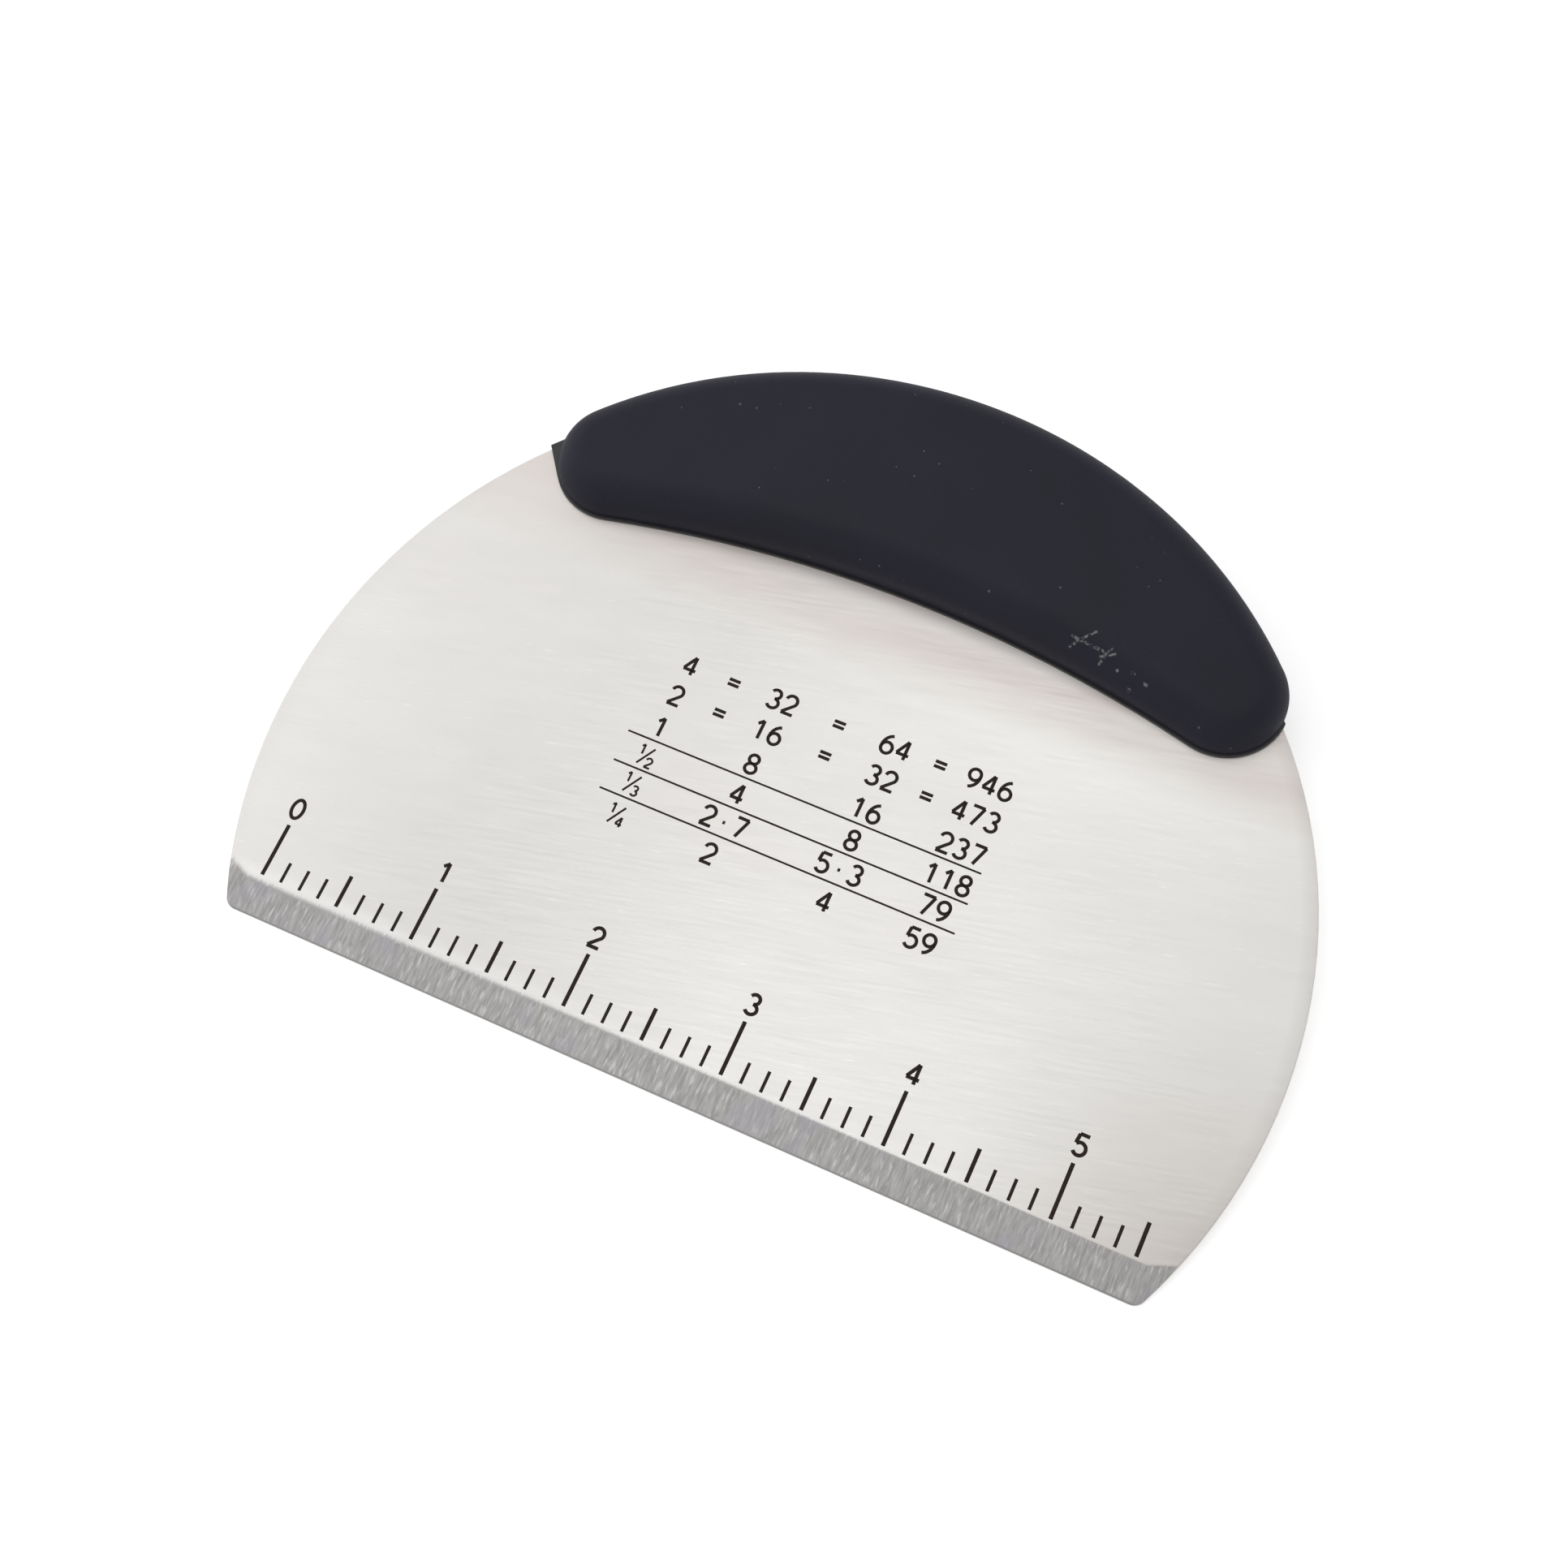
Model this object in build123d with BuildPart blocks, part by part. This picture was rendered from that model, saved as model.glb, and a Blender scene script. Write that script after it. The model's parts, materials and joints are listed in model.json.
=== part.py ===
from build123d import *
from build123d.topology import SkipClean
import os
from math import asin, atan2, cos, hypot, sin, sqrt

# Half-moon dough scraper: a half-round steel blade with a ruler edge, moulded into a crescent
# handle. Millimetres. It lies on its back as on a table: +X runs along the straight edge towards
# the ruler's high end, +Y from the edge to the handle, +Z up. The origin is the middle of the
# edge's back corner, and z = 0 is what it lies on.

# Blade, a flat sheet cut from a round
blade_radius = 80.8
round_centre_height = 35.4
blade_thickness = 1.0
corner_radius = 2.0
edge_break = 0.2

# Bevel ground on the front of the straight edge, with a small facet that climbs at each corner
bevel_width = 6.0
edge_land = 0.4
facet_length = 4.2
facet_rise = 1.7

# Anchor holes in the tang, where the core's plugs go through, on a ring inside the blade's rim
anchor_count = 5
anchor_radius = 3.5
anchor_inset = 14.8
anchor_spread_angle = 72.0

# Grip, a crescent between two arcs with rounded horns. Its top stands over the blade's rim, and
# its foot is an arc that crosses the blade and drops towards the horns.
grip_overhang = 3.4
grip_spread = 0.7
grip_depth = 33.9
grip_foot_drop = 13.25
grip_horn_radius = 9.35
grip_rounding = 5.6
handle_offset = 0.75

# Both faces of the grip are crowned from foot to top, about a crest at a share of its depth, and
# bowed along so that the horns thin out
grip_thickness = 19.4
crown_radius = 150.0
crest_share = 0.725
bow_radius = 560.0

# Core under the soft skin, and its thin land, which shows along the foot and as a small ear that
# fills the corner between the left horn and the blade's rim
skin_thickness = 2.5
land_reach = 0.4
land_height = 0.6
rim_wrap = 0.35
ear_drop = 1.0

# Arcs of the crescent, from the blade's rim
grip_top = round_centre_height + blade_radius + grip_overhang
grip_radius = blade_radius + grip_spread
grip_centre_height = grip_top - grip_radius
grip_foot_height = grip_top - grip_depth
horn_rise = grip_foot_height - grip_foot_drop - grip_centre_height
horn_side = sqrt(grip_radius**2 - horn_rise**2)
grip_foot_radius = (horn_side**2 + grip_foot_drop**2) / (2 * grip_foot_drop)

# Stance: the line from the edge's back corner that touches the rounded foot of the grip's back,
# an arc inside the crown whose centre lies this high over the edge and this far behind the blade
crest_height = grip_top - crest_share * grip_depth
crown_centre = crown_radius - (grip_thickness - blade_thickness) / 2
foot_arc_height = grip_foot_height + grip_rounding
foot_arc_depth = sqrt((crown_radius - grip_rounding) ** 2 - (crest_height - foot_arc_height) ** 2)
foot_arc_depth -= crown_centre
stance_angle = asin(grip_rounding / hypot(foot_arc_height, foot_arc_depth))
stance_angle += atan2(foot_arc_depth, foot_arc_height)

# All sketches lie on planes of the blade, which leans back by that angle
along = (1, 0, 0)
normal = (0, -sin(stance_angle), cos(stance_angle))
back_plane = Plane(origin=(0, 0, 0), x_dir=along, z_dir=normal)
middle_plane = back_plane.offset(blade_thickness / 2)
grip_middle = middle_plane.from_local_coords((handle_offset, 0, 0))
section_plane = Plane(origin=grip_middle, x_dir=middle_plane.y_dir, z_dir=along)


def crescent(growth):
    """The handle's plan, grown outwards evenly."""
    with BuildSketch() as plan:
        with Locations((handle_offset, grip_centre_height)):
            Circle(grip_radius + growth)
        with Locations((handle_offset, grip_foot_height - grip_foot_radius)):
            Circle(grip_foot_radius - growth, mode=Mode.SUBTRACT)
        fillet(plan.vertices(), radius=grip_horn_radius + growth)
    return plan.sketch


def land_slab():
    """The plan of what the core covers on the blade, which wraps a little over its rim."""
    wrap_radius = blade_radius + rim_wrap
    with BuildSketch() as plan:
        add(crescent(land_reach))
        horn = plan.edges().sort_by(Axis.X)[0]
        ear_height = horn.arc_center.Y - ear_drop
        ear_side = sqrt(wrap_radius**2 - (ear_height - round_centre_height) ** 2)
        ear_tip = (-ear_side, ear_height)
        with BuildLine():
            flank = ConstrainedLines(horn, ear_tip, selector=lambda lines: lines.sort_by(Axis.Y)[0])
            touch = flank.vertices().sort_by(Axis.Y)[0]
            Polyline(touch, horn.arc_center, (-ear_side, grip_top), ear_tip)
        make_face()
        with Locations((0, round_centre_height)):
            Circle(wrap_radius, mode=Mode.INTERSECT)
    return plan.sketch


def pillow(inset):
    """The crowned crescent of the grip, set in evenly under its surface."""
    with BuildPart() as form:
        with BuildSketch(middle_plane):
            add(crescent(-inset))
        extrude(amount=grip_thickness, both=True)
        for side in (-1, 1):
            with BuildSketch(section_plane):
                with Locations((crest_height, side * (grip_thickness / 2 - crown_radius))):
                    Circle(crown_radius - inset)
            bow_place = (0, side * (grip_thickness / 2 - bow_radius), 0)
            bow_axis = Axis(section_plane.from_local_coords(bow_place), middle_plane.y_dir)
            revolve(axis=bow_axis, mode=Mode.INTERSECT)
    return form.part


def ground_face(first, second, third):
    """The plane through three points, given from the blade's back, that faces its front."""
    corner = back_plane.from_local_coords(first)
    across = back_plane.from_local_coords(second) - corner
    upward = back_plane.from_local_coords(third) - corner
    return Plane(origin=corner, x_dir=across, z_dir=across.cross(upward))


def rim_side(height):
    """How far the blade's rim stands from its middle at this height over the edge."""
    return sqrt(blade_radius**2 - (round_centre_height - height) ** 2)


# Sheet with its ground faces and the broken front corner of its rim
edge_side = rim_side(0)
facet_top = bevel_width + facet_rise
facet_points = [
    (edge_side, 0, edge_land),
    (rim_side(facet_top), facet_top, blade_thickness),
    (rim_side(facet_top) - facet_length, bevel_width, blade_thickness),
]
bevel = ground_face(
    (-edge_side, 0, edge_land), (edge_side, 0, edge_land), (0, bevel_width, blade_thickness)
)

with BuildPart() as sheet:
    with BuildSketch(back_plane) as outline:
        with Locations((0, round_centre_height)):
            Circle(blade_radius)
        with Locations((0, -blade_radius)):
            Rectangle(2 * blade_radius, 2 * blade_radius, mode=Mode.SUBTRACT)
        fillet(outline.vertices(), radius=corner_radius)
    extrude(amount=blade_thickness)
    split(bisect_by=bevel, keep=Keep.BOTTOM)
    for side in (-1, 1):
        facet = [(side * x, y, z) for x, y, z in facet_points][::side]
        split(bisect_by=ground_face(*facet), keep=Keep.BOTTOM)
    front_edges = sheet.edges().group_by(Axis((0, 0, 0), normal))[-1]
    chamfer(front_edges.filter_by(GeomType.CIRCLE), length=edge_break)
    with BuildSketch(back_plane):
        with Locations((0, round_centre_height)):
            with PolarLocations(
                blade_radius - anchor_inset,
                anchor_count,
                start_angle=90 - anchor_spread_angle / 2,
                angular_range=anchor_spread_angle,
                endpoint=True,
            ):
                Circle(anchor_radius)
    extrude(amount=blade_thickness, mode=Mode.SUBTRACT)

# Tang, the stretch of the sheet that the core covers
with BuildPart() as tang:
    add(sheet.part)
    with BuildSketch(back_plane):
        add(land_slab())
    extrude(amount=blade_thickness, mode=Mode.INTERSECT)

# Blade, whose faces are parted where the core's foot crosses them
with BuildPart() as blade:
    add(sheet.part)
    add(tang.part, mode=Mode.SUBTRACT)
    with SkipClean():
        add(tang.part, clean=False)

# Core, moulded round the tang and through its anchor holes
with BuildPart() as handle_core:
    add(pillow(skin_thickness))
    with BuildSketch(middle_plane):
        add(land_slab())
    extrude(amount=blade_thickness / 2 + land_height, both=True)
    add(blade.part, mode=Mode.SUBTRACT)

# Soft skin, moulded over the core from the foot on the front to the foot on the back
with BuildPart() as soft_grip:
    add(pillow(0))
    crowns = soft_grip.faces().filter_by(GeomType.TORUS)
    fillet(crowns.edges(), radius=grip_rounding)
    add(handle_core.part, mode=Mode.SUBTRACT)
    add(blade.part, mode=Mode.SUBTRACT)

blade.part.label = "blade"
handle_core.part.label = "handle_core"
soft_grip.part.label = "soft_grip"

os.makedirs("parts", exist_ok=True)
export_step(blade.part, "parts/blade.step")
export_step(handle_core.part, "parts/handle_core.step")
export_step(soft_grip.part, "parts/soft_grip.step")
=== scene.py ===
import json
from math import cos, pi, radians, sin

import bpy
from mathutils import Matrix, Vector


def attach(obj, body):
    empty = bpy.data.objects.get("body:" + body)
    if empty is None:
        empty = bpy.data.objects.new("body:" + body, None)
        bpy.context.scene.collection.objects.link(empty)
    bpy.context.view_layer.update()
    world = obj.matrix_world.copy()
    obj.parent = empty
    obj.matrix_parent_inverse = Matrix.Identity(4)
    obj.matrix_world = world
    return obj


# Half-moon dough scraper, lying on its back. Lengths are in metres, written as multiples of MM,
# except in the materials, which count in millimetres.
MM = 0.001
INCH = 25.4 * MM

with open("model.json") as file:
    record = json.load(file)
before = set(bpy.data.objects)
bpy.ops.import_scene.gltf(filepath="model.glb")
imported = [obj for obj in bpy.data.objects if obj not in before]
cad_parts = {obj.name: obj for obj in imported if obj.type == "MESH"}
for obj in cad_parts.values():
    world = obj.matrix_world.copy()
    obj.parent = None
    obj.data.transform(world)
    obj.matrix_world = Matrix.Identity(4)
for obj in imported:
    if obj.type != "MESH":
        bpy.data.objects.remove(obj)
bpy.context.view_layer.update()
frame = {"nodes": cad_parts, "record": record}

# The blade's front face: u runs along the edge, v up the blade, h out of the face
mount = next(m for m in frame["record"]["mounts"] if m["name"] == "blade_front")
FACE_NORMAL = Vector(mount["axis"]).normalized()
ALONG = Vector((1, 0, 0))
UP_BLADE = FACE_NORMAL.cross(ALONG)
THICKNESS = Vector(mount["pos_m"]).dot(FACE_NORMAL)

FACE = Matrix((ALONG, UP_BLADE, FACE_NORMAL)).transposed().to_4x4()
FACE.translation = FACE_NORMAL * THICKNESS

# Ruler marks, from their foot over the bevel up to their tops
RULER_START = -69.76 * MM
RULER_EIGHTHS = 44
EIGHTHS_PER_INCH = 8
MARK_FOOT = 6.3 * MM
INCH_MARK_TOP = 14.85 * MM
HALF_MARK_TOP = 11.45 * MM
EIGHTH_MARK_TOP = 9.6 * MM
BROAD_MARK_WIDTH = 0.63 * MM
FINE_MARK_WIDTH = 0.51 * MM
RULER_FIGURE_V = 17.6 * MM

# Table of figures: rows of numbers in four columns, each given with its v. The upper rows have
# equals signs between the columns, and the lower ones have rules between them.
COLUMNS = (-24.7 * MM, -9.3 * MM, 9.5 * MM, 24.8 * MM)
EQUALS_PLACES = (-17.4 * MM, 0.2 * MM, 16.8 * MM)
EQUALS_ROWS = ((62.4 * MM, ("4", "32", "64", "946")), (57.0 * MM, ("2", "16", "32", "473")))
RULED_ROWS = (
    (51.4 * MM, ("1", "8", "16", "237")),
    (46.25 * MM, ("1/2", "4", "8", "118")),
    (41.4 * MM, ("1/3", "2.7", "5.3", "79")),
    (36.0 * MM, ("1/4", "2", "4", "59")),
)
RULE_PLACES = (49.0 * MM, 43.9 * MM, 39.0 * MM)
RULE_HALF_LENGTH = 29.0 * MM
RULE_WIDTH = 0.31 * MM

# Figures are drawn in strokes, a little broader beside the ruler
FIGURE_HEIGHT = 3.05 * MM
FIGURE_PITCH = 2.6 * MM
FIGURE_STROKE = 0.53 * MM
RULER_FIGURE_STROKE = 0.57 * MM
ARC_STEP = radians(15)

# Fractions: two small figures, above on the left and below on the right of a leaning slash
FRACTION_FIGURE_HEIGHT = 0.52 * FIGURE_HEIGHT
FRACTION_RISE = 0.3 * FIGURE_HEIGHT
FRACTION_SHIFT = 0.33 * FIGURE_PITCH
FRACTION_LEAN = 0.3 * FIGURE_HEIGHT
FRACTION_STROKE = 0.34 * MM

# Etched strokes are round beads, flattened and cut off a hair proud of the steel. One whose ends
# meet within this share of its width is closed.
BEAD_RADIUS = 1 * MM
BEAD_RESOLUTION = 2
BEAD_FLATTENING = 4
MARK_PROUD = 0.015 * MM
CLOSING_SHARE = 0.01

# Surroundings that look white up to where a dimmer ceiling begins, by the height of the direction
WHITE = (1, 1, 1, 1)
WORLD_LIGHT = 0.38
CEILING_FADE = (0.35, 0.6)

# Square soft boxes: name, place, size and radiance. All face the middle of the blade.
LAMPS = (
    ("soft_box", (-0.22, 0.08, 1.15), 1.0, 1.7),
    ("side_box", (-0.9, 0.1, 0.35), 0.5, 1.5),
)
LAMP_TARGET = (0, 0.06, 0)

# Floor, whose glow only shows as a background
FLOOR_HALF = 1.5
FLOOR_COLOUR = (0.8, 0.8, 0.8, 1)
FLOOR_GLOW = 0.5

# Camera, in the blade's u, v, h
CAMERA_PLACE = (62.36 * MM, -47.36 * MM, 313.66 * MM)
CAMERA_VIEW = (-0.19674545, 0.29171096, -0.93605339)
CAMERA_UP = (-0.36915744, 0.86241601, 0.34635444)
CAMERA_LENS = 51.268
CAMERA_NEAREST = 0.01

# Sockets of the mix node for each kind of value: first, second and result
MIX_SOCKETS = {"FLOAT": (2, 3, 0), "RGBA": (6, 7, 2)}


def node(tree, kind, **values):
    """A shader node with these settings and inputs: _0 is its first input, a socket is linked."""
    made = tree.nodes.new(kind)
    for name, value in values.items():
        if hasattr(made, name) and name not in made.inputs:
            setattr(made, name, value)
            continue
        key = int(name[1:]) if name[0] == "_" and name[1:].isdigit() else name.replace("_", " ")
        if isinstance(value, bpy.types.NodeSocket):
            tree.links.new(value, made.inputs[key])
        else:
            made.inputs[key].default_value = value
    return made


def new_material(name):
    material = bpy.data.materials.new(name)
    material.use_nodes = True
    tree = material.node_tree
    tree.nodes.clear()
    return material, tree


def finish_material(tree, shader):
    output = tree.nodes.new("ShaderNodeOutputMaterial")
    tree.links.new(shader.outputs[0], output.inputs["Surface"])


def calc(tree, operation, first, second=0.0, clamp=False):
    made = node(tree, "ShaderNodeMath", operation=operation, use_clamp=clamp, _0=first, _1=second)
    return made.outputs[0]


def times(tree, product, *factors):
    for factor in factors:
        product = calc(tree, "MULTIPLY", product, factor)
    return product


def distance(tree, x, y):
    squares = calc(tree, "ADD", times(tree, x, x), times(tree, y, y))
    return calc(tree, "SQRT", squares)


def dot(tree, first, second):
    made = node(tree, "ShaderNodeVectorMath", operation="DOT_PRODUCT", _0=first, _1=second)
    return made.outputs["Value"]


def face_coordinates(tree):
    """The u, v, h of the shaded point, in millimetres, with h counted from the blade's back."""
    point = tree.nodes.new("ShaderNodeTexCoord").outputs["Object"]
    return [times(tree, dot(tree, point, axis), 1 / MM) for axis in (ALONG, UP_BLADE, FACE_NORMAL)]


def combine(tree, x, y, z):
    return node(tree, "ShaderNodeCombineXYZ", X=x, Y=y, Z=z).outputs[0]


def noise(tree, place, scale, detail, roughness=0.5):
    made = node(
        tree, "ShaderNodeTexNoise", Vector=place, Scale=scale, Detail=detail, Roughness=roughness
    )
    return made.outputs["Fac"]


def grain(tree, place, kind):
    """Noise drawn out along x or y, in one of the grains below."""
    x, y, z = place
    along, across, detail, roughness = kind
    drawn_out = combine(tree, times(tree, x, along), times(tree, y, across), z)
    return noise(tree, drawn_out, 1.0, detail, roughness)


def ramp(tree, value, low, high, at_low=0.0, at_high=1.0):
    """Goes from at_low to at_high as the value goes from low to high, and no further."""
    made = node(tree, "ShaderNodeMapRange", Value=value, From_Min=low, From_Max=high)
    made.inputs["To Min"].default_value = at_low
    made.inputs["To Max"].default_value = at_high
    return made.outputs[0]


def folded(tree, operation, ramps, values):
    """The sum or product of ramps, each given as its value's name and the rest of the ramp."""
    result, *others = (
        ramp(tree, values[name], *rest) if rest else values[name] for name, *rest in ramps
    )
    for other in others:
        result = calc(tree, operation, result, other)
    return result


def mix(tree, kind, factor, first, second):
    """Goes from first to second as the factor goes from 0 to 1."""
    low, high, result = MIX_SOCKETS[kind]
    ends = {f"_{low}": first, f"_{high}": second}
    return node(tree, "ShaderNodeMix", data_type=kind, _0=factor, **ends).outputs[result]


def layered(tree, colour, layers, values):
    """The colour under these layers, given from the lowest up."""
    for tone, ramps in layers:
        colour = mix(tree, "RGBA", folded(tree, "MULTIPLY", ramps, values), colour, tone)
    return colour


# Steel. The blade was brushed along lines that climb a little against the edge, and its bevel was
# ground across. Grains: noise cells per millimetre along and across, and the noise's detail and
# roughness.
BRUSHING_ANGLE = radians(13)
FINE_GRAIN = (0.1, 2.1, 3.0, 0.6)
BROAD_GRAIN = (0.04, 0.22, 2.0, 0.5)
PALE_FLECKS = (0.3, 1.9, 1.0, 0.5)
DARK_FLECKS = (0.36, 2.2, 1.0, 0.5)
CLOUDS = (0.03, 0.04, 2.0, 0.5)
GROUND_GRAIN = (2.6, 0.35, 3.0, 0.6)
GROUND_FLECKS = (2.2, 0.4, 1.0, 0.5)
GROUND_PATCHES = (0.16, 0.1, 2.0, 0.5)

# Heights in the noise that keep these flecks apart from the other grains
DARK_FLECKS_HEIGHT = 17.0
GROUND_FLECKS_HEIGHT = 9.0

# Middle and radius of the blade's round, and the cosine to its normal that counts as its front
ROUND_HEIGHT = 35.4
ROUND_RADIUS = 80.8
FRONT_COSINE = 0.95

# The brushed and the ground colour each go from dark to pale by the sum of these ramps
PLAIN_DARK = (0.735, 0.72, 0.695, 1)
PLAIN_PALE = (0.82, 0.815, 0.8, 1)
PLAIN_SHADE = (
    ("fine", 0.25, 0.75, 0.0, 0.55),
    ("broad", 0.3, 0.7, 0.0, 0.25),
    ("pale_flecks", 0.68, 0.78, 0.0, 0.8),
    ("dark_flecks", 0.7, 0.8, 0.0, -0.7),
)
GROUND_DARK = (0.3, 0.29, 0.282, 1)
GROUND_PALE = (0.565, 0.555, 0.545, 1)
GROUND_SHADE = (("ground", 0.32, 0.68, 0.0, 0.7), ("ground_flecks", 0.58, 0.7, 0.0, 0.6))

# Layers over those two: a colour, and the ramps whose product is its share. Over the brushed
# colour, every layer but the clouds is painted light or painted shade.
PLAIN_CLOUDS_AND_PAINTED_LIGHT = (
    # Clouds all over
    ((0.76, 0.735, 0.71, 1), (("clouds", 0.45, 0.7, 0.0, 0.6),)),
    # Painted light: a bright middle that grows towards the grip
    (
        (0.97, 0.965, 0.935, 1),
        (("u", -20.0, 30.0), ("v", 56.0, 72.0, 0.15, 0.55), ("u", 40.0, 80.0, 1.0, 0.4)),
    ),
    # Painted shade and reflection of the grip: a warm, darker band along its foot
    ((0.735, 0.675, 0.645, 1), (("v", 71.0, 79.0), ("broad", 0.3, 0.6, 0.4, 0.9))),
    # Painted shade: dull bands, on the left and at the lower right
    (
        (0.6, 0.589, 0.575, 1),
        (("u", -76.0, -48.0), ("u", 2.0, -36.0), ("v", 75.0, 15.0, 0.1, 0.5)),
    ),
    ((0.6, 0.568, 0.54, 1), (("u", 40.0, 75.0), ("v", 45.0, 5.0))),
    # Painted shade along the rim, which shows more on the right
    ((0.5, 0.475, 0.455, 1), (("inside_rim", 2.6, 0.2), ("u", 0.0, 60.0, 0.05, 0.3))),
    # Painted highlight: a pale strip beside the left of the bevel
    ((0.84, 0.835, 0.825, 1), (("v", 8.0, 6.5), ("u", 20.0, -50.0, 0.0, 0.4), ("front",))),
)
GROUND_LAYERS = (
    # Bluish patches
    ((0.38, 0.365, 0.41, 1), (("ground_patches", 0.56, 0.72, 0.0, 0.5),)),
    # A dark line at the very edge
    ((0.26, 0.26, 0.26, 1), (("front",), ("v", 0.35, 0.1))),
)

# The bevel's upper end is soft over a depth that depends on u, and its grain makes it ragged by a
# share of that depth
BEVEL_SOFTNESS = (-50.0, 50.0, 0.07, 0.02)
BEVEL_RAGGEDNESS = (0.3, 0.7, 0.7, 0.1)

STEEL_METALLIC = 0.85
STEEL_ROUGHNESS = (0.3, 0.7, 0.52, 0.6)
STEEL_BUMP = {"Strength": 0.12, "Distance": 0.01 * MM}


def steel_values(tree, u, v, h):
    """What the steel's ramps go by, each under its name."""
    turn_cos, turn_sin = cos(BRUSHING_ANGLE), sin(BRUSHING_ANGLE)
    along = calc(tree, "ADD", times(tree, u, turn_cos), times(tree, v, turn_sin))
    across = calc(tree, "SUBTRACT", times(tree, v, turn_cos), times(tree, u, turn_sin))
    normal = tree.nodes.new("ShaderNodeNewGeometry").outputs["Normal"]
    from_middle = distance(tree, u, calc(tree, "SUBTRACT", v, ROUND_HEIGHT))
    return {
        "u": u,
        "v": v,
        "front": calc(tree, "GREATER_THAN", dot(tree, normal, FACE_NORMAL), FRONT_COSINE),
        "inside_rim": calc(tree, "SUBTRACT", ROUND_RADIUS, from_middle),
        "fine": grain(tree, (along, across, h), FINE_GRAIN),
        "broad": grain(tree, (along, across, h), BROAD_GRAIN),
        "pale_flecks": grain(tree, (along, across, h), PALE_FLECKS),
        "dark_flecks": grain(tree, (along, across, DARK_FLECKS_HEIGHT), DARK_FLECKS),
        "clouds": grain(tree, (u, v, h), CLOUDS),
        "ground": grain(tree, (u, v, h), GROUND_GRAIN),
        "ground_flecks": grain(tree, (u, v, GROUND_FLECKS_HEIGHT), GROUND_FLECKS),
        "ground_patches": grain(tree, (u, v, h), GROUND_PATCHES),
    }


def brushed_steel():
    material, tree = new_material("brushed_steel")
    u, v, h = face_coordinates(tree)
    values = steel_values(tree, u, v, h)
    plain = folded(tree, "ADD", PLAIN_SHADE, values)
    plain = mix(tree, "RGBA", plain, PLAIN_DARK, PLAIN_PALE)
    # Clouds, then painted light and shade, over the brushed colour
    plain = layered(tree, plain, PLAIN_CLOUDS_AND_PAINTED_LIGHT, values)
    ground = folded(tree, "ADD", GROUND_SHADE, values)
    ground = mix(tree, "RGBA", ground, GROUND_DARK, GROUND_PALE)
    ground = layered(tree, ground, GROUND_LAYERS, values)

    softness = ramp(tree, u, *BEVEL_SOFTNESS)
    ragged = times(tree, softness, ramp(tree, values["ground"], *BEVEL_RAGGEDNESS))
    depth = calc(tree, "SUBTRACT", THICKNESS / MM, h)
    depth = calc(tree, "SUBTRACT", depth, ragged)
    bevel = times(tree, values["front"], ramp(tree, depth, 0.0, softness))

    height = mix(tree, "FLOAT", bevel, values["fine"], values["ground"])
    bump = node(tree, "ShaderNodeBump", Height=height, **STEEL_BUMP)
    shader = node(
        tree,
        "ShaderNodeBsdfPrincipled",
        Base_Color=mix(tree, "RGBA", bevel, plain, ground),
        Metallic=STEEL_METALLIC,
        Roughness=ramp(tree, height, *STEEL_ROUGHNESS),
        Normal=bump.outputs[0],
    )
    finish_material(tree, shader)
    return material


# Core: noise cells per millimetre and the noise's detail, and the colours between which it goes
CORE_CLOUDS = (0.8, 3.0)
CORE_DARK = (0.012, 0.012, 0.014, 1)
CORE_PALE = (0.02, 0.02, 0.022, 1)
CORE_ROUGHNESS = (0.3, 0.7, 0.4, 0.5)


def core_plastic():
    material, tree = new_material("core_plastic")
    clouds = noise(tree, combine(tree, *face_coordinates(tree)), *CORE_CLOUDS)
    shader = node(
        tree,
        "ShaderNodeBsdfPrincipled",
        Base_Color=mix(tree, "RGBA", clouds, CORE_DARK, CORE_PALE),
        Roughness=ramp(tree, clouds, *CORE_ROUGHNESS),
    )
    finish_material(tree, shader)
    return material


# Soft grip, with noises as in the core
RUBBER_CLOUDS = (0.06, 3.0)
RUBBER_DARK = (0.0145, 0.0145, 0.02, 1)
RUBBER_PALE = (0.0225, 0.0225, 0.041, 1)
RUBBER_GRAIN = (5.0, 3.0)
RUBBER_ROUGHNESS = (0.3, 0.7, 0.56, 0.68)
RUBBER_SPECULAR = 0.2
RUBBER_BUMP = {"Strength": 0.25, "Distance": 0.03 * MM}

# Specks of dust in some patches: cells per millimetre, and how far a speck reaches in its cell
DUST_SCALE = 0.42
DUST_PATCHES = (0.12, 2.0)
DUST_PATCH_EDGE = (0.45, 0.65)
DUST_REACH = 0.075
DUST_EDGE = (0.03, 0.0)

# Scuffs on the front, as short lines in u, v with gaps. Their core is a share of their width.
SCUFFS = (
    ((30.9, 88.1), (27.9, 85.1)),
    ((27.8, 86.4), (33.3, 85.9)),
    ((34.0, 86.8), (33.0, 84.4)),
    ((32.8, 85.2), (34.7, 86.1)),
    ((35.8, 84.4), (35.9, 84.3)),
    ((38.1, 84.6), (38.4, 84.6)),
    ((38.3, 82.9), (38.5, 82.8)),
    ((40.3, 83.9), (40.7, 83.8)),
)
SCUFF_HALF_WIDTH = 0.26
SCUFF_CORE = 0.3
SCUFF_NOISE = (2.2, 2.0)
SCUFF_GAPS = (0.42, 0.6)

# Both are this pale, in these shares
WORN = (0.27, 0.27, 0.28, 1)
DUST_SHARE = 0.3
SCUFF_SHARE = 0.8


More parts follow.
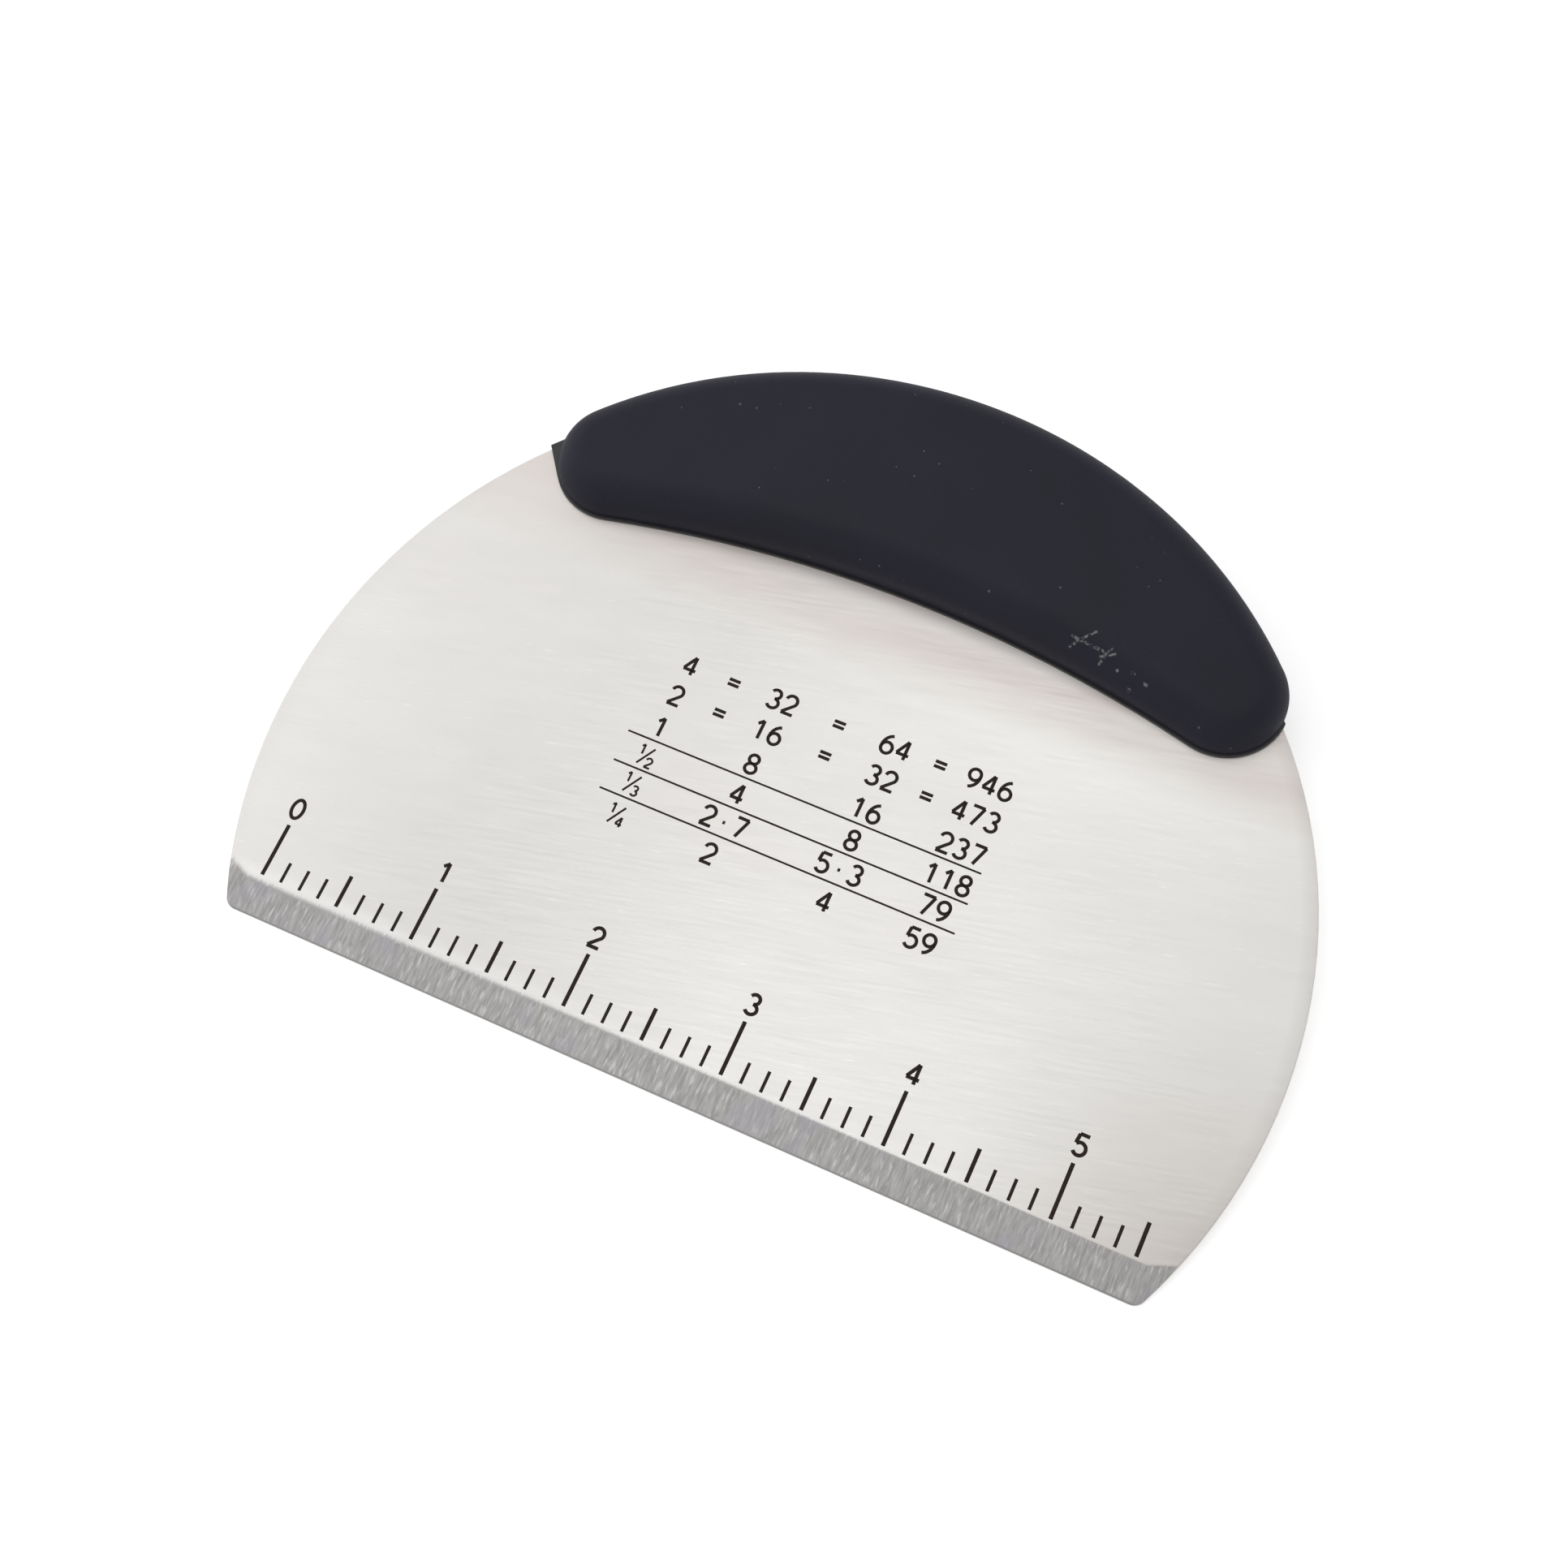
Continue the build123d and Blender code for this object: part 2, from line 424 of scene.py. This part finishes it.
def near_line(tree, u, v, start, end):
    """One on the line from start to end, and nought past a scuff's half width."""
    start, end = Vector(start), Vector(end)
    run = end - start
    du = calc(tree, "SUBTRACT", u, start.x)
    dv = calc(tree, "SUBTRACT", v, start.y)
    covered = calc(tree, "ADD", times(tree, du, run.x), times(tree, dv, run.y))
    share = calc(tree, "DIVIDE", covered, run.length_squared, clamp=True)
    off_u = calc(tree, "SUBTRACT", du, times(tree, share, run.x))
    off_v = calc(tree, "SUBTRACT", dv, times(tree, share, run.y))
    edge = (SCUFF_HALF_WIDTH, SCUFF_HALF_WIDTH * SCUFF_CORE)
    return ramp(tree, distance(tree, off_u, off_v), *edge)


def soft_rubber():
    material, tree = new_material("soft_rubber")
    u, v, h = face_coordinates(tree)
    place = combine(tree, u, v, h)
    clouds = noise(tree, place, *RUBBER_CLOUDS)
    fine = noise(tree, place, *RUBBER_GRAIN)

    speck = node(tree, "ShaderNodeTexVoronoi", Vector=place, Scale=DUST_SCALE)
    patches = ramp(tree, noise(tree, place, *DUST_PATCHES), *DUST_PATCH_EDGE)
    reach = times(tree, patches, DUST_REACH)
    dust = ramp(tree, calc(tree, "SUBTRACT", speck.outputs["Distance"], reach), *DUST_EDGE)

    scuffs = 0.0
    for start, end in SCUFFS:
        scuffs = calc(tree, "MAXIMUM", scuffs, near_line(tree, u, v, start, end))
    gaps = ramp(tree, noise(tree, place, *SCUFF_NOISE), *SCUFF_GAPS)
    scuffs = times(tree, scuffs, gaps, calc(tree, "GREATER_THAN", h, THICKNESS / MM))

    shares = times(tree, dust, DUST_SHARE), times(tree, scuffs, SCUFF_SHARE)
    colour = mix(tree, "RGBA", clouds, RUBBER_DARK, RUBBER_PALE)
    colour = mix(tree, "RGBA", calc(tree, "MAXIMUM", *shares), colour, WORN)
    bump = node(tree, "ShaderNodeBump", Height=fine, **RUBBER_BUMP)
    shader = node(
        tree,
        "ShaderNodeBsdfPrincipled",
        Base_Color=colour,
        Roughness=ramp(tree, fine, *RUBBER_ROUGHNESS),
        Specular_IOR_Level=RUBBER_SPECULAR,
        Normal=bump.outputs[0],
    )
    finish_material(tree, shader)
    return material


# Etched marks
INK_CLOUDS = (3.0, 3.0)
INK_DARK = (0.012, 0.007, 0.006, 1)
INK_PALE = (0.036, 0.022, 0.018, 1)
INK_ROUGHNESS = 0.7
INK_SPECULAR = 0.2


def etched_ink():
    material, tree = new_material("etched_mark")
    clouds = noise(tree, combine(tree, *face_coordinates(tree)), *INK_CLOUDS)
    shader = node(
        tree,
        "ShaderNodeBsdfPrincipled",
        Base_Color=mix(tree, "RGBA", clouds, INK_DARK, INK_PALE),
        Roughness=INK_ROUGHNESS,
        Specular_IOR_Level=INK_SPECULAR,
    )
    finish_material(tree, shader)
    return material


def seen_directly(tree):
    """One for the rays that show the surroundings as a background, and nought for their light."""
    path = tree.nodes.new("ShaderNodeLightPath")
    seen = calc(tree, "MAXIMUM", path.outputs["Is Camera Ray"], path.outputs["Is Glossy Ray"])
    return calc(tree, "MAXIMUM", seen, path.outputs["Is Transmission Ray"])


def floor_paint():
    material, tree = new_material("floor_paint")
    shaded = node(tree, "ShaderNodeBsdfDiffuse", Color=FLOOR_COLOUR)
    strength = times(tree, seen_directly(tree), FLOOR_GLOW)
    glow = node(tree, "ShaderNodeEmission", Color=WHITE, Strength=strength)
    both = node(tree, "ShaderNodeAddShader", _0=shaded.outputs[0], _1=glow.outputs[0])
    finish_material(tree, both)
    return material


def add_object(name, data):
    made = bpy.data.objects.new(name, data)
    bpy.context.scene.collection.objects.link(made)
    return made


def add_piece(name, mesh, material):
    piece = add_object(name, mesh)
    mesh.materials.clear()
    mesh.materials.append(material)
    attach(piece, "root")


def arc(centre, reach, start, end):
    """Points on an ellipse with this reach in x and y, from start to end in degrees."""
    steps = max(2, round(abs(radians(end - start)) / ARC_STEP))
    angles = [radians(start + (end - start) * i / steps) for i in range(steps + 1)]
    return [(centre[0] + reach[0] * cos(a), centre[1] + reach[1] * sin(a)) for a in angles]


# Strokes of each figure, from its middle foot, as shares of its height
FIGURES = {
    "0": [arc((0, 0.5), (0.3, 0.5), 0, 360)],
    "1": [[(-0.2, 0.76), (0.06, 1)], [(0.06, 1), (0.06, 0)]],
    "2": [arc((0, 0.71), (0.29, 0.29), 170, -35) + [(-0.29, 0.03)], [(-0.31, 0), (0.31, 0)]],
    "3": [arc((-0.01, 0.76), (0.25, 0.24), 155, -90), arc((-0.01, 0.26), (0.29, 0.26), 90, -155)],
    "4": [[(0.12, 1), (-0.3, 0.28)], [(-0.32, 0.26), (0.33, 0.26)], [(0.14, 1), (0.14, 0)]],
    "5": [
        [(-0.2, 1), (0.27, 1)],
        [(-0.19, 1), (-0.25, 0.53)],
        arc((0, 0.31), (0.3, 0.31), 140, -150),
    ],
    "6": [arc((0, 0.3), (0.29, 0.3), 0, 360), arc((0.24, 0.34), (0.53, 0.66), 180, 100)],
    "7": [[(-0.3, 1), (0.3, 1)], [(0.29, 1), (-0.08, 0)]],
    "8": [arc((0, 0.76), (0.25, 0.24), 0, 360), arc((0, 0.26), (0.29, 0.26), 0, 360)],
    "9": [arc((0, 0.7), (0.29, 0.3), 0, 360), arc((-0.24, 0.66), (0.53, 0.66), 0, -80)],
    ".": [[(-0.07, 0.45), (0.07, 0.45)]],
    "=": [[(-0.3, 0.62), (0.3, 0.62)], [(-0.3, 0.36), (0.3, 0.36)]],
}


def figure(character, centre, height, width):
    """The strokes of one figure whose middle is at centre, in u, v, each with its width."""
    u, v = centre
    drawn = []
    for points in FIGURES[character]:
        drawn.append(([(u + x * height, v + (y - 0.5) * height) for x, y in points], width))
    return drawn


def fraction(upper, lower, centre):
    u, v = centre
    above = (u - FRACTION_SHIFT, v + FRACTION_RISE)
    below = (u + FRACTION_SHIFT, v - FRACTION_RISE)
    slash = [
        (u - FRACTION_LEAN, v - FIGURE_HEIGHT / 2),
        (u + FRACTION_LEAN, v + FIGURE_HEIGHT / 2),
    ]
    return [
        *figure(upper, above, FRACTION_FIGURE_HEIGHT, FRACTION_STROKE),
        (slash, FRACTION_STROKE),
        *figure(lower, below, FRACTION_FIGURE_HEIGHT, FRACTION_STROKE),
    ]


def number(text, centre, width=FIGURE_STROKE):
    """The strokes of a number or a fraction, centred in u, v."""
    if "/" in text:
        return fraction(*text.split("/"), centre)
    u, v = centre
    drawn = []
    for i, character in enumerate(text):
        place = (u + (i - (len(text) - 1) / 2) * FIGURE_PITCH, v)
        drawn += figure(character, place, FIGURE_HEIGHT, width)
    return drawn


def add_strokes(name, drawn, ink):
    """A piece of etched strokes on the blade's face, from their points in u, v and widths."""
    curve = bpy.data.curves.new(name, "CURVE")
    curve.dimensions = "3D"
    curve.bevel_depth = BEAD_RADIUS
    curve.bevel_resolution = BEAD_RESOLUTION
    curve.use_fill_caps = True
    for points, width in drawn:
        gap = Vector(points[0]) - Vector(points[-1])
        closed = gap.length < CLOSING_SHARE * width
        if closed:
            points = points[:-1]
        spline = curve.splines.new("POLY")
        spline.points.add(len(points) - 1)
        spline.use_cyclic_u = closed
        for point, (u, v) in zip(spline.points, points):
            point.co = (u, v, 0, 1)
            point.radius = width / 2 / BEAD_RADIUS
    holder = add_object(name, curve)
    bpy.context.view_layer.update()
    evaluated = holder.evaluated_get(bpy.context.evaluated_depsgraph_get())
    mesh = bpy.data.meshes.new_from_object(evaluated)
    bpy.data.objects.remove(holder)
    bpy.data.curves.remove(curve)
    for vert in mesh.vertices:
        rise = max(-MARK_PROUD, min(MARK_PROUD, vert.co.z / BEAD_FLATTENING))
        vert.co = FACE @ Vector((vert.co.x, vert.co.y, rise))
    add_piece(name, mesh, ink)


def ruler_marks():
    drawn = []
    for eighth in range(RULER_EIGHTHS + 1):
        u = RULER_START + eighth * INCH / EIGHTHS_PER_INCH
        top, width = EIGHTH_MARK_TOP, FINE_MARK_WIDTH
        if eighth % EIGHTHS_PER_INCH == 0:
            top, width = INCH_MARK_TOP, BROAD_MARK_WIDTH
        elif eighth % (EIGHTHS_PER_INCH // 2) == 0:
            top, width = HALF_MARK_TOP, BROAD_MARK_WIDTH
        drawn.append(([(u, MARK_FOOT), (u, top)], width))
    return drawn


def ruler_figures():
    drawn = []
    for inch in range(RULER_EIGHTHS // EIGHTHS_PER_INCH + 1):
        place = (RULER_START + inch * INCH, RULER_FIGURE_V)
        drawn += number(str(inch), place, RULER_FIGURE_STROKE)
    return drawn


def table_figures():
    drawn = []
    for v, row in EQUALS_ROWS + RULED_ROWS:
        for u, text in zip(COLUMNS, row):
            drawn += number(text, (u, v))
    for v, _ in EQUALS_ROWS:
        for u in EQUALS_PLACES:
            drawn += number("=", (u, v))
    return drawn


def table_rules():
    return [([(-RULE_HALF_LENGTH, v), (RULE_HALF_LENGTH, v)], RULE_WIDTH) for v in RULE_PLACES]


def dress_nodes():
    for name, material in (
        ("blade", brushed_steel()),
        ("handle_core", core_plastic()),
        ("soft_grip", soft_rubber()),
    ):
        slots = frame["nodes"][name].data.materials
        slots.clear()
        slots.append(material)


def add_floor():
    mesh = bpy.data.meshes.new("floor")
    corners = [(x * FLOOR_HALF, y * FLOOR_HALF, 0) for x, y in ((-1, -1), (1, -1), (1, 1), (-1, 1))]
    mesh.from_pydata(corners, [], [(0, 1, 2, 3)])
    mesh.materials.append(floor_paint())
    floor = add_object("floor", mesh)


def add_world():
    world = bpy.data.worlds.new("studio")
    bpy.context.scene.world = world
    world.use_nodes = True
    tree = world.node_tree
    direction = tree.nodes.new("ShaderNodeTexCoord").outputs["Generated"]
    height = node(tree, "ShaderNodeSeparateXYZ", Vector=direction).outputs[2]
    white = ramp(tree, height, *CEILING_FADE, 1.0 - WORLD_LIGHT, 0.0)
    white = times(tree, white, seen_directly(tree))
    background = tree.nodes["Background"]
    background.inputs["Color"].default_value = WHITE
    tree.links.new(calc(tree, "ADD", white, WORLD_LIGHT), background.inputs["Strength"])


def add_lamps():
    for name, place, size, radiance in LAMPS:
        lamp = bpy.data.lights.new(name, "AREA")
        lamp.shape = "SQUARE"
        lamp.size = size
        lamp.energy = radiance * pi * size**2
        holder = add_object(name, lamp)
        aim = Vector(LAMP_TARGET) - Vector(place)
        holder.location = place
        holder.rotation_euler = aim.to_track_quat("-Z", "Y").to_euler()


def add_camera():
    turn = FACE.to_3x3()
    view = turn @ Vector(CAMERA_VIEW)
    up = turn @ Vector(CAMERA_UP)
    right = view.cross(up)
    place = Matrix((right, up, -view)).transposed().to_4x4()
    place.translation = FACE @ Vector(CAMERA_PLACE)
    camera = bpy.data.cameras.new("camera")
    camera.lens = CAMERA_LENS
    camera.clip_start = CAMERA_NEAREST
    holder = add_object("camera", camera)
    holder.matrix_world = place
    bpy.context.scene.camera = holder


dress_nodes()
ink = etched_ink()
add_strokes("ruler_marks", ruler_marks(), ink)
add_strokes("ruler_figures", ruler_figures(), ink)
add_strokes("table_figures", table_figures(), ink)
add_strokes("table_rules", table_rules(), ink)
add_floor()
add_world()
add_lamps()
add_camera()
bpy.context.scene.view_settings.view_transform = "Standard"
